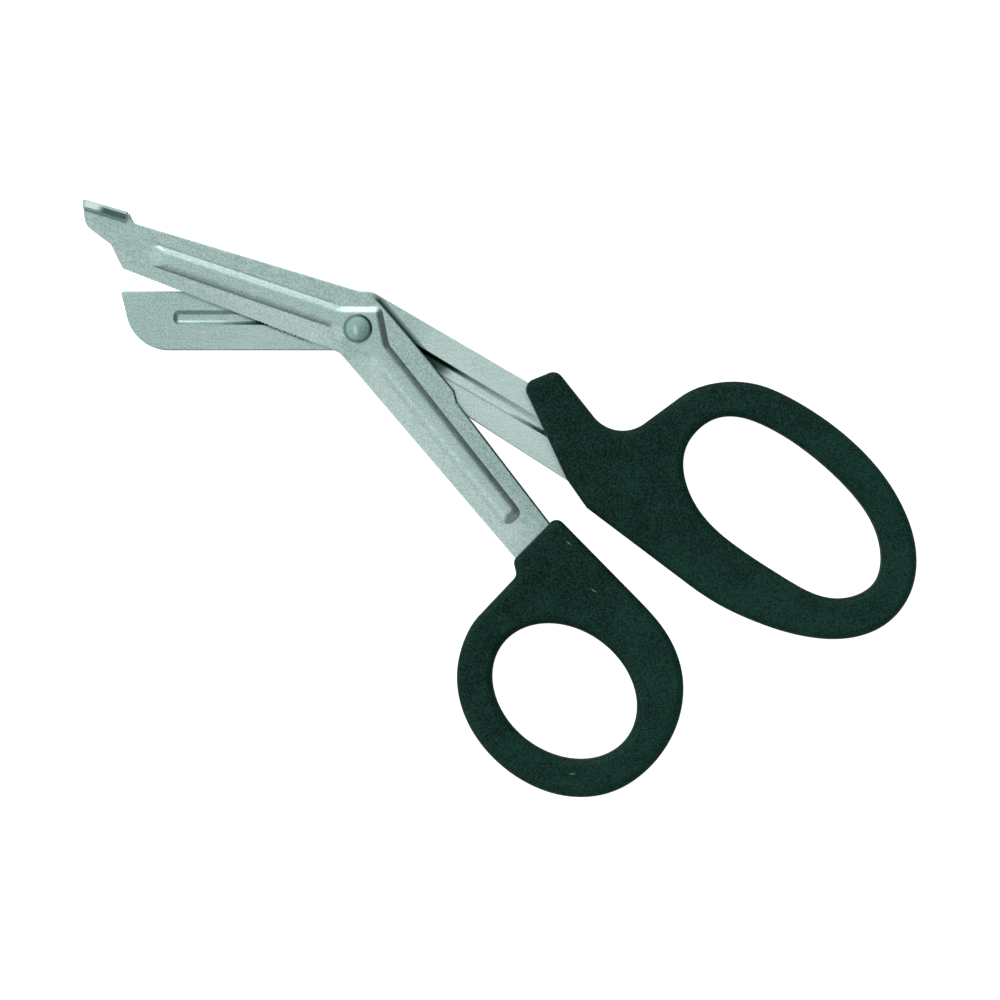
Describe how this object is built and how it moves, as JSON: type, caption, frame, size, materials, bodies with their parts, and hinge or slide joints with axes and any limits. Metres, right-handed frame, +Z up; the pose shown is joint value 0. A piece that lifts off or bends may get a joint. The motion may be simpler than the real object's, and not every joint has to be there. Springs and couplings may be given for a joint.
{
  "type": "bandage scissors",
  "caption": "Angled utility scissors for cutting bandages: a blunt foot on the upper blade, a toothed edge, one rivet and moulded finger and thumb bows.",
  "frame": {"origin": "middle of the whole outline, on the table under the handles", "axes": "+X along the finger blade's spine towards the handles, +Z up from the table, out of the rivet's head"},
  "size_m": [0.174, 0.1246, 0.0098],
  "materials": {
    "blade_steel": "satin, tumbled",
    "rivet_steel": "satin",
    "handle_plastic": "finely grained matte"
  },
  "bodies": {
    "finger_lever": {"finger_blade": "blade_steel", "finger_handle": "handle_plastic", "pivot_rivet": "rivet_steel"},
    "thumb_lever": {"thumb_blade": "blade_steel", "thumb_handle": "handle_plastic"}
  },
  "joints": [
    {"name": "blade_pivot", "type": "hinge", "parent": "finger_lever", "child": "thumb_lever", "pos_m": [-0.02962, 0.03543, 0.0045], "axis": [0, 0, 1], "range_deg": [-45, 5.4]}
  ]
}
